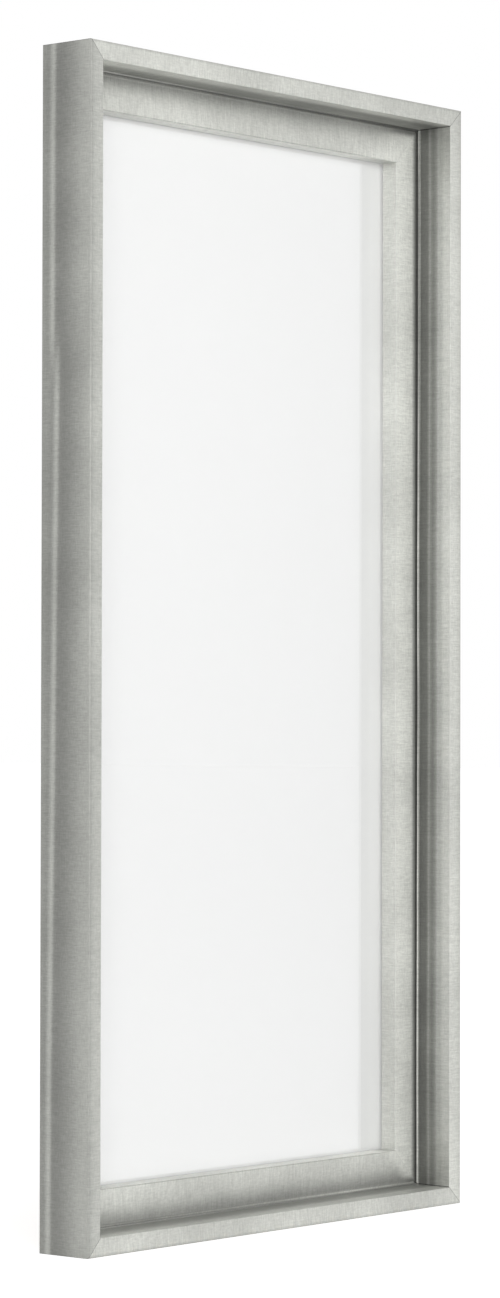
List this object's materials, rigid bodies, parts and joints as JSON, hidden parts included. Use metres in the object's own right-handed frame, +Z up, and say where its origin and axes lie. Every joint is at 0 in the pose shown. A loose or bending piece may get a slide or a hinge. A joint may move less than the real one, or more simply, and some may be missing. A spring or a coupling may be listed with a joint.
{
  "type": "picture frame",
  "caption": "Tall narrow wall picture frame: deep brushed-silver mitred moulding with a raised outer ridge and recessed lip, glass over blank white, turn-button back and a sawtooth hanger.",
  "frame": {"origin": "middle of the bottom edge, half way through the depth from the front arris to the bumpers' faces", "axes": "+Z up along the tall sides, the glass faces -Y, +X to the right for someone who looks at the glass"},
  "size_m": [0.356, 0.0465, 0.706],
  "materials": {
    "button_steel": "zinc-plated pressed steel, satin",
    "silver_foil_moulding": "MDF wrapped in brushed silver foil, satin; raw brown MDF in the rebate",
    "bright_steel": "bright spring steel",
    "zinc_screws": "bright zinc plate",
    "hanger_steel": "yellow zinc-plated steel strip, satin",
    "bumper_rubber": "soft dark grey rubber, matt",
    "float_glass": "clear polished float glass",
    "white_paper": "plain white card, matt",
    "hardboard": "brown hardboard, smooth side out"
  },
  "bodies": {
    "frame": {"bottom_rail": "silver_foil_moulding", "left_rail": "silver_foil_moulding", "top_rail": "silver_foil_moulding", "right_rail": "silver_foil_moulding", "v_nails": "bright_steel", "button_screws": "zinc_screws", "sawtooth_hanger": "hanger_steel", "hanger_tacks": "hanger_steel", "wall_bumpers": "bumper_rubber", "glass_pane": "float_glass", "insert_sheet": "white_paper", "back_board": "hardboard"},
    "button_bottom_1": {"button_bottom_1": "button_steel"},
    "button_bottom_2": {"button_bottom_2": "button_steel"},
    "button_left_1": {"button_left_1": "button_steel"},
    "button_left_2": {"button_left_2": "button_steel"},
    "button_top_1": {"button_top_1": "button_steel"},
    "button_top_2": {"button_top_2": "button_steel"},
    "button_right_1": {"button_right_1": "button_steel"},
    "button_right_2": {"button_right_2": "button_steel"}
  },
  "joints": [
    {"name": "button_bottom_1_turn", "type": "hinge", "parent": "frame", "child": "button_bottom_1", "pos_m": [-0.093, 0.01925, 0.02], "axis": [0, 1, 0], "continuous": true},
    {"name": "button_bottom_2_turn", "type": "hinge", "parent": "frame", "child": "button_bottom_2", "pos_m": [0.093, 0.01925, 0.02], "axis": [0, 1, 0], "continuous": true},
    {"name": "button_left_1_turn", "type": "hinge", "parent": "frame", "child": "button_left_1", "pos_m": [-0.158, 0.01925, 0.556], "axis": [0, 1, 0], "continuous": true},
    {"name": "button_left_2_turn", "type": "hinge", "parent": "frame", "child": "button_left_2", "pos_m": [-0.158, 0.01925, 0.15], "axis": [0, 1, 0], "continuous": true},
    {"name": "button_top_1_turn", "type": "hinge", "parent": "frame", "child": "button_top_1", "pos_m": [0.093, 0.01925, 0.686], "axis": [0, 1, 0], "continuous": true},
    {"name": "button_top_2_turn", "type": "hinge", "parent": "frame", "child": "button_top_2", "pos_m": [-0.093, 0.01925, 0.686], "axis": [0, 1, 0], "continuous": true},
    {"name": "button_right_1_turn", "type": "hinge", "parent": "frame", "child": "button_right_1", "pos_m": [0.158, 0.01925, 0.15], "axis": [0, 1, 0], "continuous": true},
    {"name": "button_right_2_turn", "type": "hinge", "parent": "frame", "child": "button_right_2", "pos_m": [0.158, 0.01925, 0.556], "axis": [0, 1, 0], "continuous": true}
  ]
}
